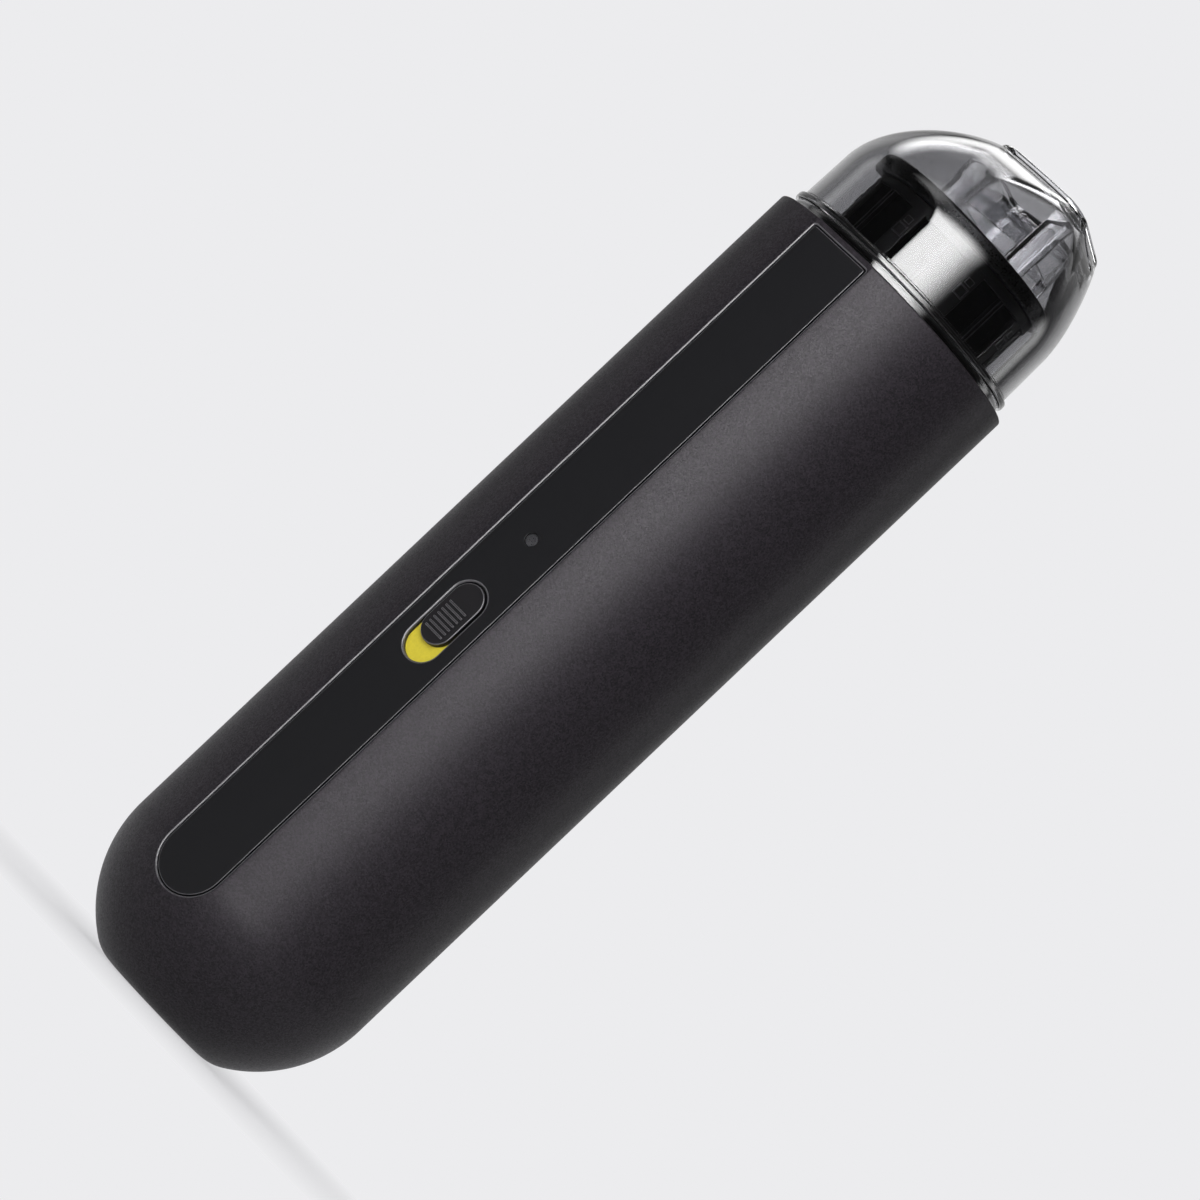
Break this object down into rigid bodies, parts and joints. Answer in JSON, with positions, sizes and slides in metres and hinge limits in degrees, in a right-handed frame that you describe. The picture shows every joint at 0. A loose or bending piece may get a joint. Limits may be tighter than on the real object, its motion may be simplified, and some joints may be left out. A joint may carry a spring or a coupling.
{
  "type": "car vacuum cleaner",
  "caption": "Cordless hand-held car vacuum cleaner: round body with a front strip and slide switch, smoky clear pull-off dust cup with an offset nozzle mouth, filter, motor and fan.",
  "frame": {"origin": "centre of the flat tail face, which the part stands on", "axes": "+Z along the body to the nozzle, -Y out of the front strip with the switch"},
  "size_m": [0.066, 0.0659, 0.2563],
  "materials": {
    "body_paint": "fine speckled matte paint",
    "strip_plastic": "satin",
    "lens_clear": "clear light pipe",
    "marker_yellow": "plain yellow",
    "switch_plastic": "satin",
    "switch_nylon": "natural nylon",
    "inner_plastic": "moulded",
    "steel": "plain steel",
    "nickel": "nickel strip",
    "contact_black": "moulded",
    "board_green": "solder mask",
    "led_pale": "clear",
    "cell_sleeve": null,
    "magnet": "ferrite",
    "carbon": "carbon",
    "copper": "copper",
    "nut_brass": "turned",
    "black_rubber": "moulded",
    "cup_smoke": "smoky clear plastic",
    "filter_black": "moulded",
    "mesh_fabric": "fine mesh",
    "media_fabric": "pleated paper",
    "wire_red": "wire sheath",
    "wire_black": "wire sheath"
  },
  "bodies": {
    "handle": {"body_shell": "body_paint", "front_strip": "strip_plastic", "led_lens": "lens_clear", "on_marker": "marker_yellow", "switch_guide": "switch_plastic", "tail_grille": "inner_plastic", "chassis": "inner_plastic", "battery_cradle": "inner_plastic", "fan_housing": "inner_plastic", "fan_cover": "inner_plastic", "front_collar": "inner_plastic", "motor_end_bell": "inner_plastic", "board_parts": "inner_plastic", "charge_port": "steel", "chassis_screws": "steel", "motor_screws": "steel", "slide_switch_case": "steel", "motor_can": "steel", "front_bearing": "steel", "rear_bearing": "steel", "cell_links": "nickel", "motor_terminals": "nickel", "port_tongue": "contact_black", "charge_board": "board_green", "control_board": "board_green", "charge_led": "led_pale", "battery_cell_left": "cell_sleeve", "battery_cell_right": "cell_sleeve", "motor_magnets": "magnet", "carbon_brushes": "carbon", "motor_cushion": "black_rubber", "cup_seal": "black_rubber", "motor_leads": "wire_red", "battery_leads": "wire_red", "charge_leads": "wire_black"},
    "rotor": {"motor_shaft": "steel", "rotor_core": "steel", "rotor_windings": "copper", "commutator": "copper", "impeller": "inner_plastic", "impeller_nut": "nut_brass"},
    "switch": {"switch_slider": "switch_plastic", "switch_lever": "switch_nylon"},
    "cup": {"dust_cup": "cup_smoke", "intake_duct": "cup_smoke"},
    "filter": {"filter_frame": "filter_black", "filter_cap": "filter_black", "filter_mesh": "mesh_fabric", "filter_media": "media_fabric", "filter_gasket": "black_rubber"}
  },
  "joints": [
    {"name": "switch_slide", "type": "slide", "parent": "handle", "child": "switch", "axis": [0, 0, 1], "range_m": [-0.0043, 0]},
    {"name": "dust_cup_pull", "type": "slide", "parent": "handle", "child": "cup", "axis": [0, 0, 1], "range_m": [0, 0.08]},
    {"name": "filter_pull", "type": "slide", "parent": "handle", "child": "filter", "axis": [0, 0, 1], "range_m": [0, 0.036]},
    {"name": "fan_spin", "type": "hinge", "parent": "handle", "child": "rotor", "pos_m": [0, 0, 0.18], "axis": [0, 0, 1], "continuous": true}
  ],
  "couplings": [
    {"joint": "filter_pull", "follows": "dust_cup_pull", "ratio": 0.45}
  ]
}
